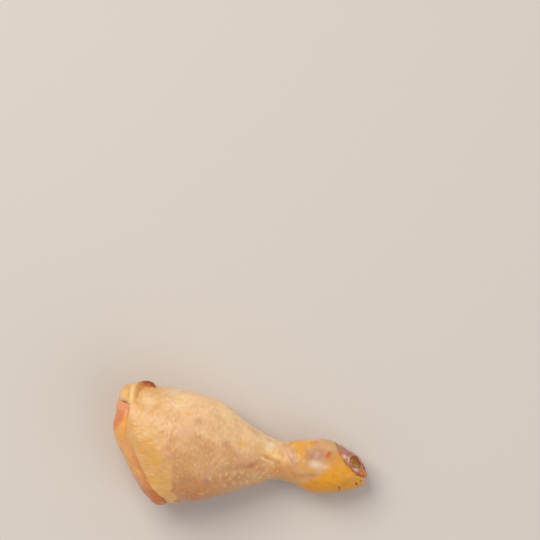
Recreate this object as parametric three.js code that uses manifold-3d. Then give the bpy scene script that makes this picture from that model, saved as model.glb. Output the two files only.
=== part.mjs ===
// A raw chicken drumstick with its skin on, lying on its side as it rests: the knee end, where the
// meat shows, is at -X, the ankle at +X, and +Z is up. Millimetres.
//
// The leg is described once, as sections through its skin. legPoint() gives the place of any point
// from how far along the leg it is, how far it is turned round it and how deep under the surface it
// lies. Skin, meat and ankle joint are turned on a lathe as plain blanks, and legPoint() then lays
// each blank into the leg. The shin bone is straight and runs through them.

import * as THREE from 'three';
import { mergeVertices } from 'three/addons/utils/BufferGeometryUtils.js';
import Module from 'manifold-3d';

const { clamp, degToRad, euclideanModulo, lerp, radToDeg, smoothstep } = THREE.MathUtils;

// ---- Driving dimensions ----

const gap = 0.3; // between pieces that lie against each other
const skinGap = 0.55; // under the skin, whose facets bend more
const sides = 50; // facets round the leg
const crowding = { turn: 72, degrees: 26 }; // they stand closest together here, where the skin is folded
const squareness = 2.15; // of a section: 2 is an ellipse, more is fuller in the corners

// Sections through the leg. Each plane crosses the X axis at `at`. `slant` turns it, so that its +Y
// side goes towards the knee, and `lean` tips its top the same way. In the plane, `half` is half the
// width, `side` is how far its middle lies to +Y, and `top` and `under` are heights. Where `under` is
// below zero the leg is pressed flat by its own weight.
const sections = [
  { at: -63.4, slant: 28, lean: 0, half: 30.9, side: 0.0, top: 39.6, under: 2.0 },
  { at: -60.5, slant: 28, lean: 0, half: 31.6, side: -6.7, top: 39.6, under: 1.4 },
  { at: -56, slant: 28, lean: 0, half: 31.8, side: -7.7, top: 39.8, under: 1.0 },
  { at: -50, slant: 28, lean: 0, half: 30.9, side: -3.3, top: 40.4, under: 0.4 },
  { at: -43, slant: 23, lean: 0, half: 30.6, side: -1.3, top: 42.0, under: -1.0 },
  { at: -34, slant: 16, lean: 0, half: 29.4, side: 0.8, top: 42.8, under: -1.2 },
  { at: -22, slant: 9, lean: 0, half: 27.2, side: 1.3, top: 41.4, under: -1.2 },
  { at: -10, slant: 4, lean: 0, half: 23.4, side: 1.1, top: 37.6, under: -0.8 },
  { at: 0, slant: 1, lean: 0, half: 18.5, side: -0.1, top: 32.6, under: 0.6 },
  { at: 10, slant: 0, lean: 0, half: 13.2, side: -0.2, top: 27.8, under: 2.9 },
  { at: 17, slant: 0, lean: 0, half: 10.3, side: -0.1, top: 25.0, under: 3.9 },
  { at: 24, slant: 0, lean: 0, half: 9.9, side: -0.2, top: 24.2, under: 3.4 },
  { at: 33, slant: 2, lean: 0, half: 12.1, side: 0.0, top: 24.8, under: 1.2 },
  { at: 42, slant: 8, lean: 0, half: 13.8, side: 0.1, top: 25.2, under: -0.7 },
  { at: 50, slant: 17, lean: 3, half: 13.0, side: 1.0, top: 24.4, under: -0.7 },
  { at: 56, slant: 25, lean: 6, half: 11.4, side: 1.7, top: 22.6, under: 0.6 },
  { at: 60, slant: 28, lean: 8, half: 9.3, side: 2.1, top: 20.8, under: 2.4 },
  { at: 63.4, slant: 29, lean: 8, half: 6.6, side: 2.4, top: 18.6, under: 5.0 },
];

// From `from` to the first section the leg closes in a dome, which the bare meat forms.
const dome = { from: -50, fullness: 1.7, roundness: 0.6 };

// The skin's free edge round the knee end, and its cut edge round the ankle: how far along the leg
// each lies at a turn. Turn 0 is on top, 90 on the +Y side and 180 underneath.
const lip = [
  { turn: -120, at: -45 },
  { turn: -75, at: -46.3 },
  { turn: -45, at: -53.3 },
  { turn: -12, at: -55.4 },
  { turn: 10, at: -56.2 },
  { turn: 27, at: -55.9 },
  { turn: 35, at: -52.2 },
  { turn: 43, at: -49.4 },
  { turn: 66, at: -52.8 },
  { turn: 100, at: -50.5 },
  { turn: 170, at: -46 },
];
const cuff = [
  { turn: -100, at: 61.6 },
  { turn: -50, at: 62.2 },
  { turn: -19, at: 58.8 },
  { turn: 9, at: 55.5 },
  { turn: 30, at: 54.3 },
  { turn: 75, at: 51.4 },
  { turn: 130, at: 54 },
  { turn: 190, at: 59 },
];

const skin = { thickness: 1.6, edge: 0.4, outerRows: 43, innerRows: 22 };
const lipRoll = { rise: 0.5, reach: 2.2 }; // the free edge is a little thicker than the rest

// Loose skin at the knee end has rolled up into a fold, with a flap beside it.
const fold = {
  width: 2.8,
  radius: 26, // of the leg there, to measure round it
  points: 40, // along the crest
  crest: [
    { at: -48.6, turn: 44, rise: 0.6 },
    { at: -47.4, turn: 60, rise: 1.5 },
    { at: -46.2, turn: 72, rise: 2.2 },
    { at: -43.6, turn: 81, rise: 2.7 },
    { at: -40.4, turn: 84, rise: 2.6 },
    { at: -36.4, turn: 85, rise: 0.3 },
  ],
};
const flap = { at: -48.4, turn: 84, rise: 2.7, length: 2.5, width: 9 };

// A lengthwise crease on top of the neck: the skin below it is drawn in.
const crease = { from: 8, to: 28, turn: -4, radius: 11, ridge: 0.45, drop: 1.0, width: 1.1, fade: 7 };

// Slow unevenness of the skin, as waves along the leg and round it.
const lumps = [
  { height: 0.3, along: 7.1, around: 2, phase: 0.4 },
  { height: 0.25, along: 4.6, around: -3, phase: 2.1 },
  { height: 0.15, along: 3.1, around: 5, phase: 4.0 },
];

// The muscle. It swells from under the free edge and shows three lobes with seams between them.
const meat = {
  end: 36,
  bareDepth: 0.3,
  clear: 0.8, // how far out of the skin it starts to swell, and where it has swollen
  swell: 3.5,
  domeRows: 9,
  coveredRows: 19,
  domeShare: 0.3, // of the blank's length
  seams: [
    { turn: 14, depth: 1.1, width: 2.6 },
    { turn: -58, depth: 0.7, width: 2.4 },
    { turn: 128, depth: 1.2, width: 3.0 },
  ],
};

// The joint at the ankle, with two bosses of cartilage and a cut tendon between them.
const ankle = {
  from: meat.end + gap,
  to: 63.4,
  bareDepth: 0.9,
  clear: 0.3,
  swell: 3,
  sides: 36,
  coveredRows: 6,
  bareRows: 6,
  coveredShare: 0.6,
  bosses: [
    { at: 56.2, turn: 22, rise: 0.9, width: 2.4 },
    { at: 61.2, turn: -22, rise: 0.7, width: 2.6 },
  ],
};
const tendon = {
  from: { at: 60.3, turn: 34 },
  to: { at: 61.6, turn: 2 },
  depth: 1.2,
  radius: 1.8,
  facets: 14,
};

// The shin bone, from its head at the knee to its cut end, with its radius at places along it.
const bone = {
  knee: new THREE.Vector3(-49.4, -4.6, 13.2),
  ankle: new THREE.Vector3(62.7, 2.0, 11.7),
  facets: 24,
  outline: [
    { along: 0.0, radius: 0 },
    { along: 0.4, radius: 3.2 },
    { along: 2.2, radius: 5.6 },
    { along: 6, radius: 6.6 },
    { along: 11, radius: 6.0 },
    { along: 20, radius: 4.6 },
    { along: 36, radius: 3.9 },
    { along: 62, radius: 3.8 },
    { along: 84, radius: 4.0 },
    { along: 98, radius: 4.2 },
    { along: 107, radius: 4.4 },
  ],
  cutRadius: 4.5,
  cutEdge: 0.4,
  marrowRadius: 2.7,
  marrowDepth: 0.5,
  endLength: 8, // over this much, the bone's end is drawn to the slant and lean of its cut
};

// The joint head at the knee: a cap of cartilage in a pocket of the meat. It faces down and out.
const kneeCap = {
  back: 2.0, // in front of the bone's head
  radius: 7.8,
  thickness: 5.2,
  edge: 1.8,
  dip: 32,
  heading: 204,
  facets: 28,
};

// ---- The leg's form ----

// A closed line round the leg, as a smooth function from a turn to the place along the leg.
function lineRound(points) {
  const before = points.slice(-2).map(({ turn, at }) => ({ turn: turn - 360, at }));
  const after = points.slice(0, 2).map(({ turn, at }) => ({ turn: turn + 360, at }));
  const all = [...before, ...points, ...after];
  const turns = all.map(({ turn }) => turn);
  const places = all.map(({ at }) => at);
  const line = new THREE.CubicInterpolant(turns, places, 1);
  const start = points[0].turn;
  return (turn) => line.evaluate(start + euclideanModulo(turn - start, 360))[0];
}

const lipAt = lineRound(lip);
const cuffAt = lineRound(cuff);

const sectionTable = new THREE.CubicInterpolant(
  sections.map(({ at }) => at),
  sections.flatMap(({ slant, lean, half, side, top, under }) => [slant, lean, half, side, top, under]),
  6,
);

// Half the width and height of the leg at a place, and how its section lies there.
function sectionAt(at) {
  const tip = sections[0].at;
  const inside = clamp(at, tip, sections.at(-1).at);
  const [slant, lean, half, side, top, under] = sectionTable.evaluate(inside);
  const reach = clamp((dome.from - at) / (dome.from - tip), 0, 1);
  const closing = (1 - reach ** dome.fullness) ** dome.roundness;
  return {
    slant: degToRad(slant),
    lean: degToRad(lean),
    side,
    middle: (top + under) / 2,
    halfWidth: half * closing,
    halfHeight: ((top - under) / 2) * closing,
  };
}

// A point of the leg. `spread` draws a whole ring of points together towards the section's middle.
function legPoint(at, turn, depth, spread = 1) {
  const { slant, lean, side, middle, halfWidth, halfHeight } = sectionAt(at);
  const sine = Math.sin(degToRad(turn));
  const cosine = Math.cos(degToRad(turn));
  const fullness = (Math.abs(sine) ** squareness + Math.abs(cosine) ** squareness) ** (-1 / squareness);
  const across = side + Math.max(halfWidth - depth, 0) * fullness * sine * spread;
  const height = Math.max(halfHeight - depth, 0) * fullness * cosine * spread;
  const x = at - across * Math.sin(slant) - height * Math.tan(lean);
  return new THREE.Vector3(x, across * Math.cos(slant), Math.max(middle + height, depth, 0));
}

// Degrees from one turn to another, from -180 to 180.
function turnFrom(start, turn) {
  return euclideanModulo(turn - start + 180, 360) - 180;
}

// 1 at no distance, falling away smoothly on both sides.
function bell(distance) {
  return Math.exp(-distance * distance);
}

const crestPoints = new THREE.CatmullRomCurve3(
  fold.crest.map(({ at, turn, rise }) => new THREE.Vector3(at, degToRad(turn) * fold.radius, rise)),
).getSpacedPoints(fold.points);

// How far the rolled fold and the flap beside it stand out of the skin.
function foldRise(at, turn) {
  const around = degToRad(turnFrom(0, turn)) * fold.radius;
  const onCrest = crestPoints.map(
    (point) => point.z * bell(Math.hypot(at - point.x, around - point.y) / fold.width),
  );
  const aroundFlap = degToRad(turnFrom(flap.turn, turn)) * fold.radius;
  const onFlap = flap.rise * bell((at - flap.at) / flap.length) * bell(aroundFlap / flap.width);
  return Math.max(...onCrest, onFlap);
}

function creaseRise(at, turn) {
  const below = -degToRad(turnFrom(crease.turn, turn)) * crease.radius;
  const halfLength = (crease.to - crease.from) / 2;
  const fromMiddle = Math.abs(at - crease.from - halfLength);
  const ends = 1 - smoothstep(fromMiddle, halfLength / 2, halfLength);
  const drawnIn = smoothstep(below, 0, crease.width) * Math.exp(-Math.max(below, 0) / crease.fade);
  return ends * (crease.ridge * bell(below / crease.width + 1) - crease.drop * drawnIn);
}

function lumpRise(at, turn) {
  const waves = lumps.map(
    ({ height, along, around, phase }) => height * Math.sin(at / along + around * degToRad(turn) + phase),
  );
  return waves.reduce((sum, wave) => sum + wave);
}

// How far the skin stands out of the plain sections.
function skinRise(at, turn) {
  const rolled = lipRoll.rise * Math.exp((lipAt(turn) - at) / lipRoll.reach);
  return rolled + foldRise(at, turn) + creaseRise(at, turn) + lumpRise(at, turn);
}

// How deep the meat lies: under the skin, or in the open with its seams.
function meatDepth(at, turn) {
  const inOpen = smoothstep(lipAt(turn) - at, meat.clear, meat.swell);
  const { halfWidth } = sectionAt(at);
  const seams = meat.seams.map(
    (seam) => seam.depth * bell((degToRad(turnFrom(seam.turn, turn)) * halfWidth) / seam.width),
  );
  return lerp(skin.thickness + skinGap, meat.bareDepth + Math.max(...seams), inOpen);
}

function ankleDepth(at, turn) {
  const inOpen = smoothstep(at - cuffAt(turn), ankle.clear, ankle.swell);
  const { halfWidth } = sectionAt(at);
  const bosses = ankle.bosses.map((boss) => {
    const around = degToRad(turnFrom(boss.turn, turn)) * halfWidth;
    return boss.rise * bell(Math.hypot(at - boss.at, around) / boss.width);
  });
  return lerp(skin.thickness + skinGap, ankle.bareDepth - Math.max(...bosses), inOpen);
}

// ---- Lathe and boolean work ----

const blankRadius = 100; // the surface of a blank: a smaller radius is depth, or a ring drawn together

// Vertices that meet become one, and the faces are turned to point outwards.
function closed(geometry) {
  const meeting = 1e-4;
  geometry.deleteAttribute('normal');
  geometry.deleteAttribute('uv');
  const solid = mergeVertices(geometry, meeting);
  const corners = Array.from(solid.index.array);
  const faces = [];
  let volume = 0;
  for (let i = 0; i < corners.length; i += 3) {
    const face = corners.slice(i, i + 3);
    const [a, b, c] = face.map((corner) =>
      new THREE.Vector3().fromBufferAttribute(solid.attributes.position, corner),
    );
    volume += a.dot(b.cross(c));
    if (new Set(face).size === 3) {
      faces.push(face);
    }
  }
  solid.setIndex(faces.flatMap(([a, b, c]) => (volume > 0 ? [a, b, c] : [a, c, b])));
  return solid;
}

// Turns [radius, along] points into a blank with `along` from 0 to 1, then lays it into the leg.
function turnedBlank(profile, place, facets = sides) {
  const outline = profile.map(([radius, along]) => new THREE.Vector2(radius, along));
  const blank = new THREE.LatheGeometry(outline, facets);
  const vertices = blank.attributes.position;
  for (let i = 0; i < vertices.count; i += 1) {
    const x = vertices.getX(i);
    const z = vertices.getZ(i);
    const even = radToDeg(Math.atan2(x, z));
    const turn = even - crowding.degrees * Math.sin(degToRad(even - crowding.turn));
    const point = place(vertices.getY(i), turn, Math.hypot(x, z));
    vertices.setXYZ(i, point.x, point.y, point.z);
  }
  return closed(blank);
}

// A profile of [radius, along] points turned round the line from `base` towards `heading`.
function turnedOnLine(profile, facets, base, heading) {
  const outline = profile.map(([radius, along]) => new THREE.Vector2(radius, along));
  const geometry = new THREE.LatheGeometry(outline, facets);
  const upright = new THREE.Vector3(0, 1, 0);
  geometry.applyQuaternion(new THREE.Quaternion().setFromUnitVectors(upright, heading));
  geometry.translate(base.x, base.y, base.z);
  return closed(geometry);
}

const wasm = await Module();
wasm.setup();

function solidOf(geometry) {
  const vertProperties = new Float32Array(geometry.attributes.position.array);
  const triVerts = new Uint32Array(geometry.index.array);
  return new wasm.Manifold(new wasm.Mesh({ numProp: 3, vertProperties, triVerts }));
}

// What is left of a geometry once the others are cut out of it.
function cutOut(geometry, ...cutters) {
  const rest = cutters.reduce((solid, cutter) => solid.subtract(solidOf(cutter)), solidOf(geometry));
  const { vertProperties, triVerts } = rest.getMesh();
  const result = new THREE.BufferGeometry();
  result.setAttribute('position', new THREE.BufferAttribute(vertProperties, 3));
  result.setIndex(Array.from(triVerts));
  return result;
}

// Numbers from one to another, both included: evenly spaced, or closer together at the start.
function steps(from, to, count, power = 1) {
  return Array.from({ length: count + 1 }, (_, i) => lerp(from, to, (i / count) ** power));
}

// ---- Pieces ----

// A sleeve, open at both ends, with rounded edges.
function makeSkin() {
  const { thickness, edge, outerRows, innerRows } = skin;
  const edgeShare = 0.004; // of the sleeve's length, taken by its rounded edge
  const kneeward = 1.2; // crowds the rows of facets towards the knee end
  const atDepth = (depth, along) => [blankRadius - depth, along];
  const profile = [
    atDepth(edge, 0),
    ...steps(edgeShare, 1 - edgeShare, outerRows, kneeward).map((along) => atDepth(0, along)),
    atDepth(edge, 1),
    atDepth(thickness - edge, 1),
    ...steps(edgeShare, 1 - edgeShare, innerRows, kneeward)
      .reverse()
      .map((along) => atDepth(thickness, along)),
    atDepth(thickness - edge, 0),
    atDepth(edge, 0),
  ];
  return turnedBlank(profile, (along, turn, radius) => {
    const depth = blankRadius - radius;
    const at = lerp(lipAt(turn), cuffAt(turn), along);
    const nearness = 1 - clamp(depth / thickness, 0, 1);
    return legPoint(at, turn, depth - skinRise(at, turn) * nearness);
  });
}

const endRing = 0.55; // how wide the ring of facets in a piece's end face is, of the whole face

// The muscle, from its dome at the knee end to the ankle joint.
function makeMeat() {
  const { end, domeRows, coveredRows, domeShare } = meat;
  const tip = sections[0].at;
  const profile = [
    [0, 0],
    ...steps(domeShare / domeRows, domeShare, domeRows - 1).map((along) => [blankRadius, along]),
    ...steps(domeShare, 1, coveredRows).slice(1).map((along) => [blankRadius, along]),
    [blankRadius * endRing, 1],
    [0, 1],
  ];
  return turnedBlank(profile, (along, turn, radius) => {
    const edge = lipAt(turn);
    const onDome = lerp(tip, edge, 1 - Math.cos((Math.min(along / domeShare, 1) * Math.PI) / 2));
    const underSkin = lerp(edge, end, (along - domeShare) / (1 - domeShare));
    const at = along < domeShare ? onDome : underSkin;
    return legPoint(at, turn, meatDepth(at, turn), radius / blankRadius);
  });
}

// Cartilage round the end of the bone, from the muscle to beyond the skin's cut edge.
function makeAnkle() {
  const { from, to, coveredRows, bareRows, coveredShare } = ankle;
  const profile = [
    [0, 0],
    [blankRadius * endRing, 0],
    ...steps(0, coveredShare, coveredRows).map((along) => [blankRadius, along]),
    ...steps(coveredShare, 1, bareRows).slice(1).map((along) => [blankRadius, along]),
    [blankRadius * endRing, 1],
    [0, 1],
  ];
  return turnedBlank(profile, (along, turn, radius) => {
    const edge = cuffAt(turn);
    const covered = lerp(from, edge, along / coveredShare);
    const bare = lerp(edge, to, (along - coveredShare) / (1 - coveredShare));
    const at = along < coveredShare ? covered : bare;
    return legPoint(at, turn, ankleDepth(at, turn), radius / blankRadius);
  }, ankle.sides);
}

const boneHeading = bone.ankle.clone().sub(bone.knee).normalize();
const boneLength = bone.ankle.distanceTo(bone.knee);

function makeBone() {
  const { outline, facets, knee, cutRadius, cutEdge, marrowRadius, marrowDepth, endLength } = bone;
  const profile = [
    ...outline.map(({ along, radius }) => [radius, along]),
    [cutRadius, boneLength - cutEdge],
    [cutRadius - cutEdge, boneLength],
    [marrowRadius, boneLength],
    [marrowRadius - marrowDepth, boneLength - marrowDepth],
    [0, boneLength - marrowDepth],
  ];
  const geometry = turnedOnLine(profile, facets, knee, boneHeading);
  const { slant, lean } = sectionAt(ankle.to);
  const vertices = geometry.attributes.position;
  for (let i = 0; i < vertices.count; i += 1) {
    const [x, y, z] = vertices.array.slice(i * 3, i * 3 + 3);
    const drawn = Math.tan(slant) * (y - bone.ankle.y) + Math.tan(lean) * (z - bone.ankle.z);
    vertices.setX(i, x - drawn * smoothstep(x, bone.ankle.x - endLength, bone.ankle.x - cutEdge));
  }
  return geometry;
}

// The tunnel that the bone lies in, which runs out past the ankle.
function makeTunnel() {
  const { outline, facets, knee, cutRadius } = bone;
  const past = boneLength + 5;
  const profile = [
    [0, -gap],
    ...outline.slice(1).map(({ along, radius }) => [radius + gap, along]),
    [cutRadius + gap, past],
    [0, past],
  ];
  return turnedOnLine(profile, facets, knee, boneHeading);
}

const kneeHeading = new THREE.Vector3(
  Math.cos(degToRad(kneeCap.dip)) * Math.cos(degToRad(kneeCap.heading)),
  Math.cos(degToRad(kneeCap.dip)) * Math.sin(degToRad(kneeCap.heading)),
  -Math.sin(degToRad(kneeCap.dip)),
);
const kneeBase = bone.knee.clone().addScaledVector(kneeHeading, kneeCap.back);

function makeKneeCap() {
  const { radius, thickness, edge, facets } = kneeCap;
  const dent = 0.5; // the middle of the joint face is a little hollow
  const profile = [
    [0, 0],
    [radius - edge / 2, 0],
    [radius, edge / 2],
    [radius, thickness - edge],
    [radius - edge * 0.3, thickness - edge * 0.3],
    [radius - edge, thickness],
    [radius * 0.5, thickness + edge * 0.2],
    [0, thickness - dent],
  ];
  return turnedOnLine(profile, facets, kneeBase, kneeHeading);
}

// The pocket round the joint head, open to the outside.
function makePocket() {
  const { radius, facets } = kneeCap;
  const past = 20;
  const profile = [
    [0, -gap],
    [radius + gap, -gap],
    [radius + gap * 2, past],
    [0, past],
  ];
  return turnedOnLine(profile, facets, kneeBase, kneeHeading);
}

function makeTendon(room = 0) {
  const { from, to, depth, radius, facets } = tendon;
  const base = legPoint(from.at, from.turn, depth);
  const tip = legPoint(to.at, to.turn, depth);
  const heading = tip.clone().sub(base).normalize();
  const length = tip.distanceTo(base);
  const wide = radius + room;
  const profile = [
    [0, -room],
    [wide * 0.7, -room],
    [wide, wide * 0.5],
    [wide, length - wide * 0.4],
    [wide * 0.8, length + room],
    [0, length + room],
  ];
  return turnedOnLine(profile, facets, base, heading);
}

// ---- Assembly ----

function piece(name, geometry, color, roughness) {
  const material = new THREE.MeshStandardMaterial({ color, roughness, metalness: 0 });
  const mesh = new THREE.Mesh(geometry, material);
  mesh.name = name;
  return mesh;
}

const drumstick = new THREE.Group();
drumstick.add(
  piece('skin', makeSkin(), '#dcae77', 0.4),
  piece('meat', cutOut(makeMeat(), makeTunnel(), makePocket()), '#d98a60', 0.3),
  piece('bone', makeBone(), '#d9c6b4', 0.5),
  piece('knee_cartilage', makeKneeCap(), '#e6dfe4', 0.25),
  piece('ankle_cartilage', cutOut(makeAnkle(), makeTunnel(), makeTendon(gap)), '#cfa79c', 0.25),
  piece('tendon', makeTendon(), '#9b7a2e', 0.35),
);

// The origin is under the middle of the whole, on the surface that it rests on.
const box = new THREE.Box3().setFromObject(drumstick);
const middle = box.getCenter(new THREE.Vector3());
drumstick.position.set(-middle.x, -middle.y, -box.min.z);

export default drumstick;
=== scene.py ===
import math
from types import SimpleNamespace

import bpy
import numpy as np
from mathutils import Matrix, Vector
from mathutils.bvhtree import BVHTree
from mathutils.kdtree import KDTree


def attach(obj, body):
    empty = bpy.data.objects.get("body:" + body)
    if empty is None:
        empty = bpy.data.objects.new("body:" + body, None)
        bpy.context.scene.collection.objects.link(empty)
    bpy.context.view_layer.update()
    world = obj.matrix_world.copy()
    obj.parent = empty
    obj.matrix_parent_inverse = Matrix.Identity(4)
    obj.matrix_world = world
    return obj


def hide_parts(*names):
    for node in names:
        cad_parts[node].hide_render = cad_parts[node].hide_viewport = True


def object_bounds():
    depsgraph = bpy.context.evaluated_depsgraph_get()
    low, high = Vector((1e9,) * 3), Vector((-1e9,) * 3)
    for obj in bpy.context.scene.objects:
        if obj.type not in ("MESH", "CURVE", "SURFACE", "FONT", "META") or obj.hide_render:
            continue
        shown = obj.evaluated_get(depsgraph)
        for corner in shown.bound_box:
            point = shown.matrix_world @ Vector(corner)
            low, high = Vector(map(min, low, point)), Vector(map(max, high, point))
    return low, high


# A raw chicken drumstick with its skin on, lying on its side. Knee end at -X, ankle at +X, +Z up.
# Every solid of the frame is copied, remeshed in small even faces and sculpted in code, in mm.

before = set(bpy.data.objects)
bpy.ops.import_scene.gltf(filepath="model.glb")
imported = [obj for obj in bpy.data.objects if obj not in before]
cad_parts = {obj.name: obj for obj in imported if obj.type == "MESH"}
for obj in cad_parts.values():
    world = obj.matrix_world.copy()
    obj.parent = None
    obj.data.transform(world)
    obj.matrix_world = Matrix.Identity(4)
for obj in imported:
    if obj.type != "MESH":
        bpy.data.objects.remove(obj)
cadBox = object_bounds()
bpy.ops.object.select_all(action="DESELECT")

# The leg's own axes, in which every place below is given, start here in the frame (mm)
legOrigin = np.array((-0.013, 0.532, 0))

# A line inside the leg, which tells inside from outside and gives the turn round the leg
legLine = {"knee": (-50, -3, 20), "ankle": (60, 1.5, 12.5)}
turnsRound = 360

# The pieces may stand this far outside the box of the plain solids (mm)
proud = 0.7


def linearColour(hexCode):
    shares = [int(hexCode[i:i + 2], 16) / 255 for i in (1, 3, 5)]
    return [c / 12.92 if c <= 0.04045 else ((c + 0.055) / 1.055) ** 2.4 for c in shares] + [1]


def scaleFor(sizeInMm):
    return 1000 / sizeInMm  # object coordinates are metres


def addNode(tree, kind, inputs=None, **settings):
    node = tree.nodes.new(kind)
    for name, value in settings.items():
        setattr(node, name, value)
    for socket, value in (inputs or {}).items():
        if isinstance(value, bpy.types.NodeSocket):
            tree.links.new(value, node.inputs[socket])
        else:
            node.inputs[socket].default_value = value
    return node


def smoothStep(value, low, high):
    share = np.clip((value - low) / (high - low), 0, 1)
    return share * share * (3 - 2 * share)


def bell(distance):
    return np.exp(-distance * distance)


def aroundLeg(places):
    # how far each place is turned round the leg in degrees (0 on top, 90 at +Y), and its direction outwards
    knee, ankle = np.array(legLine["knee"]), np.array(legLine["ankle"])
    share = (places[:, 0] - knee[0]) / (ankle[0] - knee[0])
    outwards = places - (knee + share[:, None] * (ankle - knee))
    outwards[:, 0] = 0
    turn = np.degrees(np.arctan2(outwards[:, 1], outwards[:, 2]))
    return turn, outwards / np.linalg.norm(outwards, axis=1)[:, None]


def uneven(places, wavelength, seed, stretch=(1, 1, 1)):
    # a smooth random field with a spread of about 1, as a sum of plane waves
    waves, shortest, longest = 28, 0.7, 1.3
    draw = np.random.default_rng(seed)
    directions = draw.normal(size=(waves, 3))
    directions /= np.linalg.norm(directions, axis=1)[:, None]
    numbers = 2 * math.pi / wavelength * draw.uniform(shortest, longest, waves)
    phases = draw.uniform(0, 2 * math.pi, waves)
    swings = np.cos(places / np.array(stretch) @ (directions * numbers[:, None]).T + phases)
    return swings.sum(1) * (2 / waves) ** 0.5


def noise(places, values):
    # the same field at a size of its own: values are size, wavelength, seed and stretch
    size, *wave = values
    return size * uneven(places, *wave)


def readMesh(piece):
    count = len(piece.data.vertices)
    places, normals = np.empty(count * 3), np.empty(count * 3)
    piece.data.vertices.foreach_get("co", places)
    piece.data.vertex_normals.foreach_get("vector", normals)
    return places.reshape(-1, 3) * 1000 - legOrigin, normals.reshape(-1, 3)


def writeMesh(piece, places):
    # the real skin stands a little proud of the plain solids, but nothing goes below the floor
    low, high = (np.array(corner) * 1000 for corner in cadBox)
    low, high = low - (proud, proud, 0), high + proud
    piece.data.vertices.foreach_set("co", (np.clip(places + legOrigin, low, high) / 1000).ravel())
    piece.data.update()


def paint(piece, name, values):
    attribute = piece.data.attributes.new(name, "FLOAT", "POINT")
    attribute.data.foreach_set("value", np.clip(values, 0, 1).astype(np.float32))


def surfaceOf(piece):
    places, _normals = readMesh(piece)
    return BVHTree.FromPolygons(places.tolist(), [list(face.vertices) for face in piece.data.polygons])


def distancesTo(surface, places):
    return np.array([surface.find_nearest(Vector(place))[3] for place in places])


def layOnTop(surface, points):
    # plan points, dropped onto the upper side
    above = 100
    found = [surface.ray_cast(Vector((x, y, above)), Vector((0, 0, -1)))[0] for x, y in points]
    return np.array([hit for hit in found if hit is not None])


def besideLine(places, line):
    # distance of each place to a line of points
    nearest = np.full(len(places), 1e9)
    for start, end in zip(line[:-1], line[1:]):
        along = end - start
        share = np.clip((places - start) @ along / (along @ along), 0, 1)
        nearest = np.minimum(nearest, np.linalg.norm(places - start - share[:, None] * along, axis=1))
    return nearest


def spots(places, surface, marks):
    # soft oval spots on the upper side: x, y, half length along the leg, half width across it, strength
    total = np.zeros(len(places))
    for x, y, along, across, strength in marks:
        for centre in layOnTop(surface, [(x, y)]):
            offset = (places - centre) / (along, across, across)
            total = np.maximum(total, strength * np.exp(-(offset * offset).sum(1)))
    return total


def byTurn(turn, points):
    # a value that changes with the turn round the leg, from pairs of turn and value
    turns, values = zip(*points)
    return np.interp(turn, turns, values, period=turnsRound)


def nearestOf(places, centres):
    # which centre is nearest to each place, and the way to the place from there
    tree = KDTree(len(centres))
    for index, centre in enumerate(centres):
        tree.insert(centre, index)
    tree.balance()
    owner = np.array([tree.find(place)[1] for place in places])
    return owner, places - centres[owner]


def gapsTo(places, centres):
    return np.linalg.norm(nearestOf(places, centres)[1], axis=1)


def fade(shape, name):
    # how far a change of the skin or the meat has come at each place, from 0 to 1
    follows, start, complete = shape.fades[name]
    return smoothStep(getattr(shape, follows), start, complete)


def scatter(places, apart, rounds, seed):
    # centres thrown at random, no two too near, which then settle into even spacing
    closest = 0.8
    near = closest * np.broadcast_to(apart, len(places))
    cells = np.floor(places / near.max()).astype(int)
    around = [(i, j, k) for i in (-1, 0, 1) for j in (-1, 0, 1) for k in (-1, 0, 1)]
    taken, chosen = {}, []
    for index in np.random.default_rng(seed).permutation(len(places)):
        i, j, k = cells[index]
        close = [n for di, dj, dk in around for n in taken.get((i + di, j + dj, k + dk), ())]
        if not close or np.linalg.norm(places[close] - places[index], axis=1).min() > near[index]:
            taken.setdefault((i, j, k), []).append(index)
            chosen.append(index)
    centres = places[chosen]
    for _ in range(rounds):
        owner, _offset = nearestOf(places, centres)
        count = np.bincount(owner, minlength=len(centres))
        sums = np.stack([np.bincount(owner, places[:, axis], len(centres)) for axis in range(3)], 1)
        centres = np.where(count[:, None] > 0, sums / np.maximum(count, 1)[:, None], centres)
    return centres


# Metres, degrees, degrees and a share
meshing = {"mergeWithin": 1e-6, "flatWithin": 50, "squareWithin": 60, "softening": 0.5}


def fineCopy(node, name, voxel, rounds, levels=0):
    # the plain solid, merged, rounded and remeshed in even faces
    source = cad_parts[node]
    piece = bpy.data.objects.new(name, source.data.copy())
    bpy.context.scene.collection.objects.link(piece)
    piece.data.materials.clear()
    bpy.context.view_layer.objects.active = piece
    piece.select_set(True)
    bpy.ops.object.mode_set(mode="EDIT")
    bpy.ops.mesh.select_all(action="SELECT")
    bpy.ops.mesh.remove_doubles(threshold=meshing["mergeWithin"])
    flat, square = math.radians(meshing["flatWithin"]), math.radians(meshing["squareWithin"])
    bpy.ops.mesh.tris_convert_to_quads(face_threshold=flat, shape_threshold=square)
    bpy.ops.object.mode_set(mode="OBJECT")
    if levels:
        rounding = piece.modifiers.new("rounding", "SUBSURF")
        rounding.levels = rounding.render_levels = levels
        bpy.ops.object.modifier_apply(modifier="rounding")
    even = piece.modifiers.new("even", "REMESH")
    even.mode = "VOXEL"
    even.voxel_size = voxel / 1000
    bpy.ops.object.modifier_apply(modifier="even")
    soft = piece.modifiers.new("soft", "SMOOTH")
    soft.factor = meshing["softening"]
    soft.iterations = rounds
    bpy.ops.object.modifier_apply(modifier="soft")
    return piece


def thinOut(piece, hidden, triangles):
    # fewer faces where nothing shows, down to about this many triangles
    group = piece.vertex_groups.new(name="hidden")
    group.add(np.flatnonzero(hidden).tolist(), 1, "REPLACE")
    fewer = piece.modifiers.new("fewer", "DECIMATE")
    fewer.ratio = min(triangles / (2 * len(piece.data.polygons)), 1)
    fewer.vertex_group = "hidden"
    bpy.ops.object.modifier_apply(modifier="fewer")
    piece.vertex_groups.clear()


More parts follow.
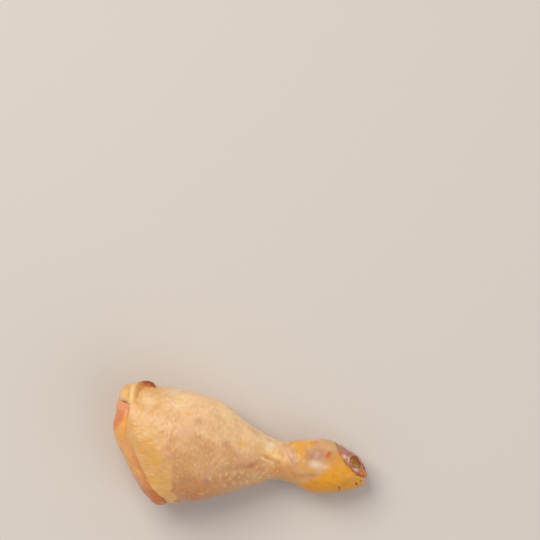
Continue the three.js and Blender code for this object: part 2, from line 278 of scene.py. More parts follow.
def finishPiece(piece, node, material):
    piece.data.materials.append(material)
    bpy.context.view_layer.objects.active = piece
    bpy.ops.object.shade_smooth()
    piece.select_set(False)
    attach(piece, "root")
    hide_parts(node)
    piece.data.calc_loop_triangles()
    print(piece.name, len(piece.data.loop_triangles), "triangles")


def newMaterial(name, hexCodes):
    material = bpy.data.materials.new(name)
    material.use_nodes = True
    tree = material.node_tree
    tree.nodes.clear()
    colours = {colour: linearColour(code) for colour, code in hexCodes.items()}
    return material, tree, colours, addNode(tree, "ShaderNodeTexCoord").outputs["Object"]


def layered(tree, base, layers, colours):
    # colours laid over each other: the name of a colour, its strength, and an attribute or a socket
    for name, strength, source in layers:
        if isinstance(source, str):
            source = addNode(tree, "ShaderNodeAttribute", attribute_name=source).outputs["Fac"]
        scaled = {0: source, 1: strength}
        share = addNode(tree, "ShaderNodeMath", scaled, operation="MULTIPLY", use_clamp=True).outputs[0]
        mixing = {0: share, 6: base, 7: colours[name]}
        base = addNode(tree, "ShaderNodeMix", mixing, data_type="RGBA").outputs[2]
    return base


def noiseTexture(tree, place, sizeInMm, detail, roughness=0.5):
    values = {"Vector": place, "Scale": scaleFor(sizeInMm), "Detail": detail, "Roughness": roughness}
    return addNode(tree, "ShaderNodeTexNoise", values).outputs["Fac"]


def between(tree, value, low, high, least=0, most=1):
    # a value from low to high, drawn out from least to most
    return addNode(tree, "ShaderNodeMapRange", {0: value, 1: low, 2: high, 3: least, 4: most}).outputs[0]


def wetSurface(tree, colour, height, roughness, finish):
    # flesh that light spreads in, under a thin clear film of water. Relief depth and light spread are in mm.
    waterIor = 1.33
    relief = addNode(tree, "ShaderNodeBump", {
        "Strength": finish["relief"], "Distance": finish["reliefDepth"] / 1000, "Height": height})
    shader = addNode(tree, "ShaderNodeBsdfPrincipled", {
        "Base Color": colour, "Roughness": roughness, "Normal": relief.outputs[0], "IOR": finish["ior"],
        "Subsurface Weight": finish["seeThrough"], "Subsurface Radius": finish["lightSpread"],
        "Subsurface Scale": 1 / 1000, "Coat Weight": finish["film"],
        "Coat Roughness": finish["filmRoughness"], "Coat IOR": waterIor})
    addNode(tree, "ShaderNodeOutputMaterial", {"Surface": shader.outputs[0]})


# The skin
skinValues = {
    "voxel": 0.45,
    "softening": 5,
    "triangles": 190000,
    # besides the skin's own tones, the pale creams and whites also lay painted highlights, and the
    # orange-browns and darkest browns lay painted shade
    "colours": {
        "flesh": "#d19c63", "cream": "#f8d2a2", "fatty": "#e3b068", "yellow": "#e6a832", "gold": "#eea604",
        "lilac": "#b07e68", "rosy": "#dfaa8a", "tan": "#b6763c", "blush": "#c06c30", "white": "#f3e0ca",
        "red": "#cc6a08", "hollow": "#aa5e18", "notch": "#4f2f16", "umber": "#98420c", "pale": "#fbd9a8",
        "butter": "#ffde9a",
    },
    "mottling": 4,  # mm, as are the next three
    "blotching": 10,
    "fineLines": 0.9,
    "creases": 0.7,
    "wetness": (0.3, 0.44),  # lowest and highest roughness
    "finish": {
        "relief": 0.16, "reliefDepth": 0.15, "ior": 1.4, "film": 0.4, "filmRoughness": 0.18,
        "seeThrough": 0.3, "lightSpread": (1.6, 0.8, 0.4),
    },
}

# How far a face looks out of the leg, from 1 for straight out to -1 for straight in
skinFacing = {"outer": (-0.1, 0.45), "shown": 0.6, "rim": 0.25, "hidden": -0.4}

# The rim is the free edge on the knee side of the first x and the cut on the ankle side of the second.
# One in every few of its places is measured from.
rimPlaces = {"lip": -30, "cut": 40, "lipStep": 7, "cutStep": 5}

# Feather follicles: ovals of uneven height, larger and further apart low on the neck
follicles = {
    "apart": 2.5, "apartOnNeck": 3.2, "settling": 1, "seed": 11, "heights": (0.1, 1.3),
    "length": 0.62, "width": 0.74, "largerOnNeck": 0.25, "fromLip": 1.5, "upTo": 36,
    "least": 0.2, "most": 1.2,
    "bright": 0.25, "brightOnTop": 0.3, "brightOnNeck": 0.3,
}
heelScales = {"apart": 1.3, "settling": 1, "seed": 12, "from": 30, "dome": (0.2, 0.9)}

# The layer of fat under the skin at the knee end ends here: pairs of turn and place along the leg
fatEdge = [(-170, -32), (-130, -28), (-95, -27), (-76, -28), (-41, -31.1), (-28, -32.8), (-14, -35.5),
           (2, -40.3), (15.5, -45.4), (32, -54), (60, -60), (120, -46), (160, -36)]
fatFading = {"mm": 1.4, "moreOnTop": 1.6}

# The scaly pad of the heel starts here
padEdge = [(-175, 62), (-150, 50), (-125, 41), (-100, 34.5), (-74, 33.8), (-46, 36.9), (-32, 40.9),
           (-19, 43.9), (-7, 46.4), (4.5, 48), (17, 48.9), (32, 50), (42, 60), (50, 72), (90, 72), (150, 66)]
padColour = {"domes": 0.08, "paler": 0.3}

# Ovals are x, y, half length along the leg, half width across it, and strength
skinMarks = {
    "yellow": [
        (-47.4, -14.9, 1.3, 2, 1), (-37.3, -7.2, 0.9, 0.9, 0.9), (-44.7, -1.4, 3, 1.8, 0.5),
        (-40.8, -18.9, 1.8, 1, 0.8), (-39.2, -12.8, 1.4, 1, 0.7), (-38.6, 1.8, 1.8, 1, 0.6),
        (-46.8, -0.3, 3.4, 1.4, 0.4), (-49.1, -11.8, 1.4, 2.4, 0.6), (-42.5, -9, 4, 3.2, 0.45),
        (-37, -23, 2.4, 1.2, 0.5), (-0.3, 5.7, 1.2, 1.1, 1.2), (2.5, 6.1, 0.8, 0.7, 0.6),
        (-4.4, 17.3, 1, 0.8, 0.9), (-28.1, 16.9, 2.4, 0.8, 0.5), (2.5, 14.1, 1, 0.8, 0.4),
        (-33.7, 23.6, 1.6, 0.8, 0.4), (24, -0.9, 1.6, 1.6, 0.5), (17.5, -4.2, 4, 1.6, 0.35),
        (33.4, -8.9, 3.4, 2.4, 0.35), (15.5, 3.4, 4.6, 2.4, 0.45), (9.5, -4.9, 1.2, 0.8, 0.3),
        (47.4, 3.4, 2.4, 3, 0.4),
    ],
    "gold": [
        (-16.6, -21.8, 0.95, 0.85, 1.4), (-11.1, -17.4, 0.5, 0.5, 1.1), (-12, -19.9, 0.45, 0.45, 1),
        (27.8, 8.2, 2, 1.8, 0.45),
    ],
    # cream patches: those on the upper side of the thigh and on top of the neck are painted highlights,
    # those low on the knee end are cream fat
    "cream": [
        (13.5, 5, 5, 2.8, 1.1), (16.5, 3.2, 4, 1.5, 1.1), (-48.6, 21, 5, 3, 1),
        (-35.6, 21, 3.6, 1.6, 1.2), (-30.2, 21.7, 1.8, 1, 1.1), (-26.8, 19.9, 1.6, 1.2, 1.1),
        (-18.4, 11.1, 1.4, 1, 0.8), (-17.6, 17.8, 1.8, 1.2, 0.9), (-12.5, 17.8, 1.4, 1.2, 0.7),
        (-9.2, 15.1, 1.2, 1.2, 0.7), (22, 1, 3, 1.4, 0.6), (-48.8, -6.9, 4, 1.2, 0.8),
        (-44.4, -15, 3.4, 1.4, 0.8), (-52.1, -3.9, 2, 2.6, 0.5), (44.9, 0, 2.2, 1.4, 0.6),
    ],
    "lilac": [
        (38.4, 5, 4.6, 4, 1.2), (-14.6, -14.8, 2.2, 1.8, 0.9), (-7.8, 5, 2.4, 1.5, 0.65),
        (38.2, -5.3, 3, 1.2, 0.8), (-23, 14, 3.4, 2, 0.55), (27.5, 1.8, 2.6, 2.4, 0.45),
        (-37.1, -10.2, 1.6, 4, 0.4),
    ],
    "rosy": [
        (-28.5, 7.7, 4, 2.6, 0.8), (-15.8, 11.2, 3.2, 1.8, 0.7), (-34.1, 8.7, 3, 1.6, 0.6),
        (-8.1, 22.5, 4, 1.6, 0.8), (-38.9, 24.5, 3, 1.2, 0.6), (-35, -4.4, 3.4, 3, 0.5),
        (13.6, 9.6, 2.4, 1.8, 1), (26.1, 2.7, 3, 2.4, 0.3), (28.6, 1.4, 2.4, 2, 0.25),
        (30.1, -2.2, 2.6, 1.6, 0.8), (38.2, 10.4, 3, 1.6, 1), (5.5, 12.5, 6, 1.8, 0.6),
        (-44.2, -12.5, 5, 1, 0.5), (-50, -1.6, 2, 1, 0.5), (-34, -13.8, 1.2, 3.4, 0.5),
    ],
    # whitish ridges and tendons of the ankle, and painted highlights on the upper thigh, on top of the neck
    # and a glint on a lilac spot
    "white": [
        (39, 0.4, 3.6, 2, 0.85), (14.9, 7, 2.2, 1.6, 0.8), (13.6, 4.8, 3, 1.4, 0.45),
        (32.4, 1.2, 1.2, 1, 0.5), (-13.3, -13.6, 0.9, 0.8, 0.7), (-31.6, 21, 1.4, 0.8, 0.7),
        (-35.3, 20.2, 1.6, 0.8, 0.8), (-48.7, 18, 1.4, 2.4, 0.4), (44.9, 0, 1.4, 0.8, 0.4),
    ],
    # butter yellow, mostly painted highlight where the neck's fold and ridge face the light
    "butter": [
        (14.4, 4.4, 4.4, 2.2, 0.9), (17.6, 2, 3.4, 1.2, 0.8), (13.4, -0.7, 2.4, 0.8, 0.5),
        (26.2, 7.9, 1.6, 1, 0.4), (-61.6, 22.6, 2.4, 2.6, 0.15), (-47, 4, 5, 3, 0.3),
    ],
    # orange-brown: partly the skin's own tone, partly painted shade below the neck's crease, at the lobe's
    # top beside the roll and on the lower side
    "blush": [
        (20.1, -4.6, 4.4, 2.4, 0.45), (7.4, -4.4, 2.6, 1.2, 0.4), (12.5, -5.4, 4, 2, 0.35),
        (16.4, -4, 2.4, 1.2, 0.4), (2, -12, 9, 4, 0.3), (31.5, -6.2, 5, 2, 0.45),
        (-61.2, 26.4, 1.6, 2.4, 0.4), (-24, -23.6, 6, 2.4, 0.5), (28.4, -5.4, 2, 0.8, 0.6),
        (46, -9.8, 8, 2, 0.5),
    ],
    # tan mottling; the marks along the furrow and below the neck's crease are painted shade
    "tan": [
        (-22.3, 6.1, 4, 2.4, 0.8), (-33.2, 3.4, 3.6, 2, 0.5), (-30, -4, 4, 3, 0.5),
        (-16, -2, 5, 3, 0.5), (-26, -13, 5, 3.4, 0.5), (0, -4.6, 6, 1.2, 0.6),
        (6.6, -4.6, 2.4, 1.4, 0.8), (46.6, 4.6, 3, 2.6, 1), (-13.6, 9, 5, 3, 0.4),
        (50, 7, 3, 3, 0.7), (19.5, -4.4, 4, 2.2, 0.9), (12, -5.2, 4, 2, 0.8),
    ],
}

# Bumps are x, y and how wide they are
bigBumps = [
    (-5.1, -10.6, 1), (-1.3, -9.9, 1.4), (2.5, -8.9, 1.5), (6, -9.8, 0.9), (9.4, -9.3, 0.8),
    (-8.1, -11.7, 1), (-5.2, -16.2, 1.1), (-0.9, -14.2, 1.2), (2.5, -13.9, 1.2), (5.4, -13.1, 1),
    (-5, -4.9, 0.8), (-1.7, -2.1, 0.8), (-10.1, -7.4, 0.8), (14.8, -6.7, 0.8), (9.8, -5.1, 0.7),
    (-3.2, -12.6, 0.9), (-1.7, -6.9, 0.8),
]
bumpWidth = 1.1
tufts = [(15.1, 10.6), (20.3, 10.2)]
tuftWidth = 0.9

# Lines on the skin in plan: how wide each one is, in mm, and its points
neckCrease = [(12.6, 1), (14.4, 0.4), (16.2, 0), (18.2, -0.6), (20, -0.9)]
rollEnd = [(-51.4, 29), (-50, 28.8), (-48.2, 28.2)]
skinLines = {
    "fold": (1.9, [(10.4, 3.6), (13.2, 3), (16.2, 2), (19.5, 0.7), (22.6, -0.3)]),
    "crease": (0.65, neckCrease),
    # painted shade under the neck's fold follows this line
    "underFold": (1.6, neckCrease),
    "ridge": (0.75, [(11.6, -0.1), (13.4, -0.9), (15.4, -1.1), (17, -1.7)]),
    "furrow": (1.5, [
        (-6.4, -7.4), (-3.2, -7.3), (0.3, -6.4), (3.1, -6.3), (5.5, -5.8), (8.3, -4.4), (10.1, -2.4)]),
    "cords": (0.6, [(18.9, 8.4), (20.4, 6.4), (21.7, 4.7), (23.3, 2.9), (25, 1), (26.4, -1.2)],
              [(23.4, 6.4), (25.2, 4.8), (26.6, 2.8)]),
    "roll": (1.6, [
        (-57.6, 18.6), (-57.6, 20.4), (-57.6, 22.4), (-57.4, 24.6), (-56.7, 26.6), (-55.1, 28.1),
        (-52.8, 28.7), (-50.4, 28.9), (-48.9, 28.6)]),
    "beside": (0.6, [(-58.9, 20.6), (-59.4, 22.6), (-59.9, 24.4), (-59.6, 26.2), (-58.6, 28.3)]),
    "below": (1.5, [
        (-56, 21.4), (-55.6, 23.4), (-55, 25), (-53.6, 26.3), (-51.6, 27.1), (-49.4, 27.5),
        (-47.4, 28)]),
    "patch": (2.7, [(27.4, 8.8), (30.4, 9.2), (33.2, 9.8), (35.8, 11.2)], [(30, 8), (31.4, 4.2)]),
    "branch": (0.9, [(30.3, 0.9), (31.5, -1.1), (33.7, -2.9), (35.8, -2.9), (37.6, -3)]),
    "notches": (0.32, [(62.2, -4.4), (61.9, -5)], [(60.7, -7), (60.1, -6.1)],
                [(52.2, -10.6), (51.9, -8.9)]),
    "redStroke": (1.15, [(44.7, 7.2), (44, 6.1), (43.2, 4.7)]),
    "rollEnd": (2.6, rollEnd),
    "nearRollEnd": (3.5, rollEnd),
}

# Round places in plan: x, y and radius
roundPlaces = {
    "lowCorner": (-31.1, -29.9, 1.6), "nearLowCorner": (-27.6, -27.6, 1.6),
    "corner": (-64.6, 27.4, 2.2), "hump": (-60.2, 28.4, 1.8), "shoulder": (-44, 31, 7),
}

# Bands beside the free edge and beside the cut: the middle of each one and its half width, in mm
skinBands = {
    "lip": ("fromLip", 0, 0.9), "lipEdge": ("fromLip", 0.5, 0.8),
    "cutEdge": ("fromCut", 0, 1.2), "cutLine": ("fromCut", 0.2, 0.9), "paleHeel": ("fromCut", 0, 5),
}

# What a change follows (x along the leg, y across it, turn round it), and where it starts and is complete
skinFades = {
    "kneeEnd": ("x", -34, -48), "neck": ("x", -8, 4), "ankle": ("x", 14, 26), "lowSide": ("turn", -15, -45),
    "softFat": ("turn", -45, 0), "pad": ("padReach", -4.5, 5.5), "smooth": ("x", 16, 28),
    "bolder": ("x", -25, 0), "farFromLip": ("fromLip", 9, 17), "drawnIn": ("x", 12, 20),
    "drawnInEnd": ("x", 28, 34), "roll": ("y", 17, 21), "shoulder": ("x", -48.5, -46),
    "patch": ("patch", 0.1, 0.95), "lit": ("turn", -12, 62), "unlit": ("turn", 110, 150),
    "heelTip": ("x", 54, 60), "topSide": ("turn", 30, 70), "blushSide": ("turn", -8, -78),
    "blushEnd": ("x", -18, 8), "blushBelow": ("turn", -120, -160), "onRoll": ("rollAndBelow", 0.2, 0.9),
    "turned": ("pastRoll", -59.5, -53), "darkEnd": ("rollEdge", 0.1, 0.6),
    "paleHeel": ("x", 52, 60), "paleSide": ("y", 0, -4), "lipEnd": ("x", -52, -56),
    "lipAtRoll": ("y", 18, 21), "underPad": ("turn", -30, -80), "brightDots": ("turn", 0, 40),
    "darkPatch": ("y", 9.5, 12.5), "darkPatchFrom": ("x", 28, 34),
}
# The roll turns under past a line that slants across it
rollSlant = {"slope": 0.35, "y": 24, "below": 0.3}

# Random unevenness: size, wavelength in mm, seed, and how far it is drawn out on each axis
skinNoise = {
    "fatEdge": (0.8, 7, 1), "fineFatEdge": (0.3, 2.5, 18), "padEdge": (1.3, 5, 2),
    "finePadEdge": (0.5, 1.7, 14), "follicles": (0.35, 11, 19), "slowLumps": (1, 13, 3),
    "lumps": (1, 5.5, 4), "fineLumps": (1, 2.4, 5), "acrossLeg": (1, 1.3, 7, (1, 3, 3)),
    "wrinkles": (1, 1.3, 6, (4, 1, 1)),
    "crease": (0.3, 2.2, 40), "drawnIn": (1, 2.4, 15, (1, 2, 2)), "patch": (0.12, 2.6, 16),
    "padLumps": (1, 2.6, 20), "mottled": (0.12, 12, 8), "fineMottled": (0.06, 3.4, 17),
    "rosyPatches": (1, 6, 25), "streaks": (1, 1.6, 13, (4, 1, 1)), "tanPatches": (1, 5, 27),
    "yellowed": (1, 2, 9, (3.4, 1, 1)), "yellowPatch": (0.15, 2.2, 24), "padColour": (0.06, 1.3, 10),
    "redStroke": (0.2, 1.8, 28), "fineDark": (0.5, 1.5, 29), "dark": (1, 4, 30),
}

# What these have before that unevenness is added
usual = {"follicles": 0.75, "crease": 0.7, "yellowPatch": 0.85, "padColour": 0.93, "redStroke": 1.1}

# Patches come in between these levels
patchLevels = {
    "rosyPatches": (0.5, 1.6), "streaks": (0.4, 1.5), "tanPatches": (0.4, 1.6),
    "yellowed": (0, 1.6), "dark": (0, 1.8),
}

# Heights of the relief in mm, below zero where it is sunk in
skinHeights = {
    "follicles": 0.09, "bolder": 0.07, "onNeck": 0.16, "bumps": 0.45, "goldDrops": 0.4,
    "tufts": 0.6, "slowLumps": 0.15, "lumps": 0.05, "fineLumps": 0.02, "acrossLeg": 0.025, "wrinkles": 0.06,
    "fat": 0.12, "lip": -0.45, "lowCorner": -0.9, "nearLowCorner": 0.6,
    "fold": 0.3, "crease": -0.04, "ridge": 0.12, "furrow": -0.35, "cords": 0.14, "drawnIn": 0.06,
    "roll": 1.4, "beside": -0.35, "below": 0.4, "corner": -1.8, "hump": 0.3, "shoulder": -0.8,
    "fatPatch": 0.35, "swellings": 0.3, "hollows": -0.25,
    "scales": 0.12, "padLumps": 0.05, "pad": 0.25, "notches": -0.9, "cutEdge": 0.2,
}

# How strongly each shape calls for a colour. The strongest call counts.
skinTints = {
    # painted highlight: the upper side and the neck's fold are painted lighter and creamier, where the light
    # falls
    "cream": {"lit": 0.95, "creamPlaces": 0.9, "fold": 0.5},
    "fatty": {
        "fat": 1, "kneeEnd": 0.8, "roll": 0.9, "ridge": 0.8, "fold": 0.6, "litNeck": 0.4, "heelTip": 1,
    },
    "rosy": {"rosyMarks": 1, "rosyPatches": 0.3, "streaks": 0.15},
    "tan": {"tanMarks": 1, "tanPatches": 0.3, "tanKneeEnd": 0.4},
    # orange-brown painted shade on the lower side, on the roll's side away from the light and under the
    # neck's fold
    "blush": {"blushMarks": 1, "blushSide": 0.85, "turnedRoll": 1, "underFold": 0.3},
    "yellow": {
        "yellowMarks": 1, "yellowed": 0.5, "sunnyRoll": 0.3, "ridge": 0.4, "fold": 0.35, "branch": 0.85,
        "yellowPatch": 1,
    },
    # painted highlight: butter yellow on the roll's side towards the light, the neck's ridge and these marks
    "butter": {"butterMarks": 1, "brightRoll": 0.8, "ridge": 0.6},
    "gold": {"scalyPad": 1, "goldMarks": 1},
    "lilac": {"lilacMarks": 1},
    # white for pale tendons, painted highlights, and a thin painted highlight along the rounded free edge
    "white": {"whiteMarks": 1, "cords": 0.35, "lipEdge": 0.15},
    "red": {"redStroke": 1, "cutLine": 0.4, "underPad": 0.3},
    # painted shadow: deep brown over the roll's end
    "umber": {"darkEnd": 1},
    "tip": {"dots": 1, "bumps": 0.4},
    # painted shade in the neck's crease, the furrow, the groove beside the roll and between the heel's
    # scales, a painted shadow on the top edge of the ankle's patch, and real dark mottling on the pad
    "hollow": {
        "crease": 0.4, "furrow": 0.3, "scaleGaps": 0.2, "darkPad": 0.3, "darkPatch": 0.45, "beside": 0.3,
    },
    "creased": {"creased": 1},
    # painted shade in the small cuts of the heel
    "notch": {"notches": 1},
}
creamAcrossLeg = 0.05
lesser = {"wrinkles": 0.4, "yellowed": 0.3, "lipAtRoll": 0.6}  # shares of what is full elsewhere


def rough(skin, name):
    return noise(skin.places, skinNoise[name])


def about(skin, name):
    return usual[name] + rough(skin, name)


def patches(skin, name):
    return smoothStep(rough(skin, name), *patchLevels[name])


def without(skin, **shares):
    # what is left where some shapes take their share away
    left = 1
    for name, share in shares.items():
        left = left * (1 - share * getattr(skin, name))
    return left


def measureSkin(piece):
    # where each place of the skin is, and how near to each edge, mark, line and round place
    skin = SimpleNamespace(fades=skinFades)
    skin.places, skin.normals = readMesh(piece)
    skin.turn, outwards = aroundLeg(skin.places)
    skin.x, skin.y = skin.places[:, 0], skin.places[:, 1]
    skin.facing = (skin.normals * outwards).sum(1)
    skin.outer = smoothStep(skin.facing, *skinFacing["outer"])
    skin.shown = skin.outer > skinFacing["shown"]
    skin.surface = surfaceOf(piece)
    rim = np.abs(skin.facing) < skinFacing["rim"]
    lip = skin.places[rim & (skin.x < rimPlaces["lip"])][::rimPlaces["lipStep"]]
    cut = skin.places[rim & (skin.x > rimPlaces["cut"])][::rimPlaces["cutStep"]]
    skin.fromLip = gapsTo(skin.places, lip)
    skin.fromCut = gapsTo(skin.places, cut)
    for name, marks in skinMarks.items():
        setattr(skin, name + "Marks", spots(skin.places, skin.surface, marks))
    for name, (width, *lines) in skinLines.items():
        laid = [layOnTop(skin.surface, points) for points in lines]
        setattr(skin, name, np.max([bell(besideLine(skin.places, line) / width) for line in laid], axis=0))
    for name, (x, y, radius) in roundPlaces.items():
        setattr(skin, name, bell(np.hypot(skin.x - x, skin.y - y) / radius))
    for name, (follows, middle, width) in skinBands.items():
        setattr(skin, name, bell((getattr(skin, follows) - middle) / width))
    return skin


def findZones(skin):
    # fat below the skin, pad of the heel, ankle, neck and knee end
    fatReach = byTurn(skin.turn, fatEdge) - skin.x + rough(skin, "fatEdge") + rough(skin, "fineFatEdge")
    fatWidth = fatFading["mm"] + fatFading["moreOnTop"] * fade(skin, "softFat")
    skin.fat = smoothStep(fatReach / fatWidth, -1, 1)
    skin.padReach = skin.x - byTurn(skin.turn, padEdge) + rough(skin, "padEdge") + rough(skin, "finePadEdge")
    skin.pad = fade(skin, "pad")
    skin.ankle = fade(skin, "ankle")
    skin.neck = fade(skin, "neck") * (1 - skin.ankle)
    skin.lowNeck = skin.neck * fade(skin, "lowSide")
    skin.kneeEnd = fade(skin, "kneeEnd")


def findFollicles(skin):
    # weak over the fat, gone on the ankle, and more marked in some places than in others
    apart = follicles["apart"] + (follicles["apartOnNeck"] - follicles["apart"]) * skin.lowNeck
    feathered = skin.shown & (skin.fromLip > follicles["fromLip"]) & (skin.x < follicles["upTo"])
    centres = scatter(skin.places[feathered], apart[feathered], follicles["settling"], follicles["seed"])
    print(len(centres), "follicles")
    owner, offset = nearestOf(skin.places, centres)
    size = np.random.default_rng(follicles["seed"]).uniform(*follicles["heights"], len(centres))[owner]
    length = follicles["length"] + follicles["largerOnNeck"] * skin.lowNeck
    width = follicles["width"] + follicles["largerOnNeck"] * skin.lowNeck
    oval = np.sqrt((offset[:, 0] / length) ** 2 + (offset[:, 1:] ** 2).sum(1) / width**2)
    skin.smooth = fade(skin, "smooth")
    skin.tip = bell(oval) * size * without(skin, fat=0.85, kneeEnd=0.6, smooth=1, pad=1)
    skin.tip = skin.tip * np.clip(about(skin, "follicles"), follicles["least"], follicles["most"])
    skin.bumps = spots(skin.places, skin.surface, [
        (x, y, bumpWidth * wide, bumpWidth * wide, 1) for x, y, wide in bigBumps])
    skin.follicles = skin.tip * without(skin, bumps=0.9)
    skin.bolder = skin.follicles * fade(skin, "bolder")
    skin.onNeck = skin.follicles * skin.lowNeck
    skin.goldDrops = skin.goldMarks * (1 - skin.ankle)
    skin.tufts = spots(skin.places, skin.surface, [(x, y, tuftWidth, tuftWidth, 1) for x, y in tufts])


def findTexture(skin):
    # slow lumps, fine creases across the thigh, wrinkles that run in from the free edge
    for name in ("slowLumps", "lumps", "fineLumps"):
        setattr(skin, name, rough(skin, name))
    skin.acrossLeg = rough(skin, "acrossLeg") * without(skin, fat=1, ankle=1)
    wrinkled = np.maximum(skin.fat, lesser["wrinkles"] * (1 - fade(skin, "farFromLip")))
    skin.wrinkles = rough(skin, "wrinkles") * wrinkled * (1 - skin.ankle)


def findForms(skin):
    # the neck's crease and puckers, the rolled fold, the yellow patch of the ankle and the scaly heel
    skin.crease = skin.crease * about(skin, "crease")
    skin.drawnIn = rough(skin, "drawnIn") * fade(skin, "drawnIn") * (1 - fade(skin, "drawnInEnd"))
    for name in ("roll", "beside", "below"):
        setattr(skin, name, getattr(skin, name) * fade(skin, "roll"))
    skin.shoulder = skin.shoulder * fade(skin, "shoulder")
    skin.patch = skin.patch + rough(skin, "patch")
    skin.patch = fade(skin, "patch")
    skin.fatPatch = skin.ankle * skin.patch * (1 - skin.pad)
    skin.swellings = skin.ankle * skin.whiteMarks
    skin.hollows = skin.ankle * skin.lilacMarks
    heel = skin.places[skin.shown & (skin.x > heelScales["from"])]
    centres = scatter(heel, heelScales["apart"], heelScales["settling"], heelScales["seed"])
    skin.dome = 1 - smoothStep(gapsTo(skin.places, centres), *heelScales["dome"])
    skin.scales = skin.pad * (skin.dome - 0.5)
    skin.padLumps = skin.pad * rough(skin, "padLumps")


def findTints(skin):
    # what calls for a colour but has no height of its own
    # painted highlight: the upper side, and the upper side of the neck, painted lighter where the light
    # falls
    skin.lit = fade(skin, "lit") * (1 - fade(skin, "unlit")) * without(skin, ankle=0.8, kneeEnd=0.75)
    skin.mottled = rough(skin, "mottled") + rough(skin, "fineMottled")
    skin.creamPlaces = skin.creamMarks * (1 - skin.roll)
    skin.litNeck = skin.neck * skin.lit
    skin.heelTip = skin.pad * fade(skin, "heelTip")
    skin.rosyPatches = patches(skin, "rosyPatches") * without(skin, fat=1, kneeEnd=1)
    skin.streaks = skin.fat * patches(skin, "streaks")
    skin.tanPatches = patches(skin, "tanPatches") * without(skin, lit=1, fat=1, ankle=1)
    skin.tanKneeEnd = skin.kneeEnd * (1 - fade(skin, "topSide"))
    # the lower side darker and browner: partly thin skin over dark meat, partly painted shade
    skin.blushSide = fade(skin, "blushSide") * (1 - skin.fat) * (1 - fade(skin, "blushEnd"))
    skin.blushSide = skin.blushSide * (1 - fade(skin, "blushBelow"))
    skin.rollAndBelow = skin.roll + skin.below
    skin.pastRoll = skin.x + rollSlant["slope"] * (skin.y - rollSlant["y"])
    # painted shade on the part of the roll that turns away from the light
    skin.turnedRoll = fade(skin, "onRoll") * fade(skin, "turned")
    # painted highlight on the part of the roll that faces the light
    skin.brightRoll = skin.roll * (1 - fade(skin, "turned"))
    skin.sunnyRoll = fade(skin, "onRoll") * (1 - skin.nearRollEnd)
    skin.rollEdge = skin.roll + rollSlant["below"] * skin.below
    # painted shadow darkening the roll's end
    skin.darkEnd = skin.rollEnd * fade(skin, "darkEnd")
    streaky = np.maximum(skin.fat, lesser["yellowed"] * skin.kneeEnd)
    skin.yellowed = streaky * patches(skin, "yellowed")
    skin.yellowPatch = skin.patch * about(skin, "yellowPatch")
    # painted shadow along the top edge of the ankle's yellow patch
    skin.darkPatch = skin.patch * fade(skin, "darkPatch") * fade(skin, "darkPatchFrom")
    paler = padColour["paler"] * skin.paleHeel * fade(skin, "paleHeel") * fade(skin, "paleSide")
    domes = padColour["domes"] * (skin.dome - 0.5)
    skin.scalyPad = skin.pad * (about(skin, "padColour") + domes - paler)
    skin.underPad = skin.pad * fade(skin, "underPad")
    # painted shade between the heel's scales
    skin.scaleGaps = skin.pad * (1 - skin.dome)
    skin.redStroke = skin.redStroke * about(skin, "redStroke")
    dark = rough(skin, "fineDark") + rough(skin, "dark")
    skin.darkPad = skin.pad * smoothStep(dark, *patchLevels["dark"])
    # a thin painted highlight where the free edge rounds over
    skin.lipEdge = skin.lipEdge * fade(skin, "lipEnd") * (1 - lesser["lipAtRoll"] * fade(skin, "lipAtRoll"))
    skin.cutLine = skin.cutLine * without(skin, outer=0.8) * (skin.x > rimPlaces["cut"])
    bright = follicles["bright"] + follicles["brightOnTop"] * fade(skin, "brightDots")
    skin.dots = skin.tip * (bright + follicles["brightOnNeck"] * skin.lowNeck) * (1 - skin.bumps)
    skin.creased = without(skin, fat=0.5, ankle=0.7, kneeEnd=0.7)


def sculptSkin(piece):
    skin = measureSkin(piece)
    findZones(skin)
    findFollicles(skin)
    findTexture(skin)
    findForms(skin)
    rise = sum(height * getattr(skin, name) for name, height in skinHeights.items())
    writeMesh(piece, skin.places + skin.normals * (rise * skin.outer)[:, None])

    findTints(skin)
    added = {"cream": skin.mottled + creamAcrossLeg * skin.acrossLeg}
    offPad, left = without(skin, pad=1), {}
    left["rosy"], left["tan"], left["butter"] = offPad * (1 - skin.patch), 1 - skin.tip, 1 - skin.crease
    left["yellow"], left["lilac"], left["white"], left["tip"] = offPad, offPad, offPad, skin.outer
    for tint, calls in skinTints.items():
        strongest = np.max([strength * getattr(skin, name) for name, strength in calls.items()], axis=0)
        paint(piece, tint, strongest * left.get(tint, 1) + added.get(tint, 0))
    thinOut(piece, skin.facing < skinFacing["hidden"], skinValues["triangles"])


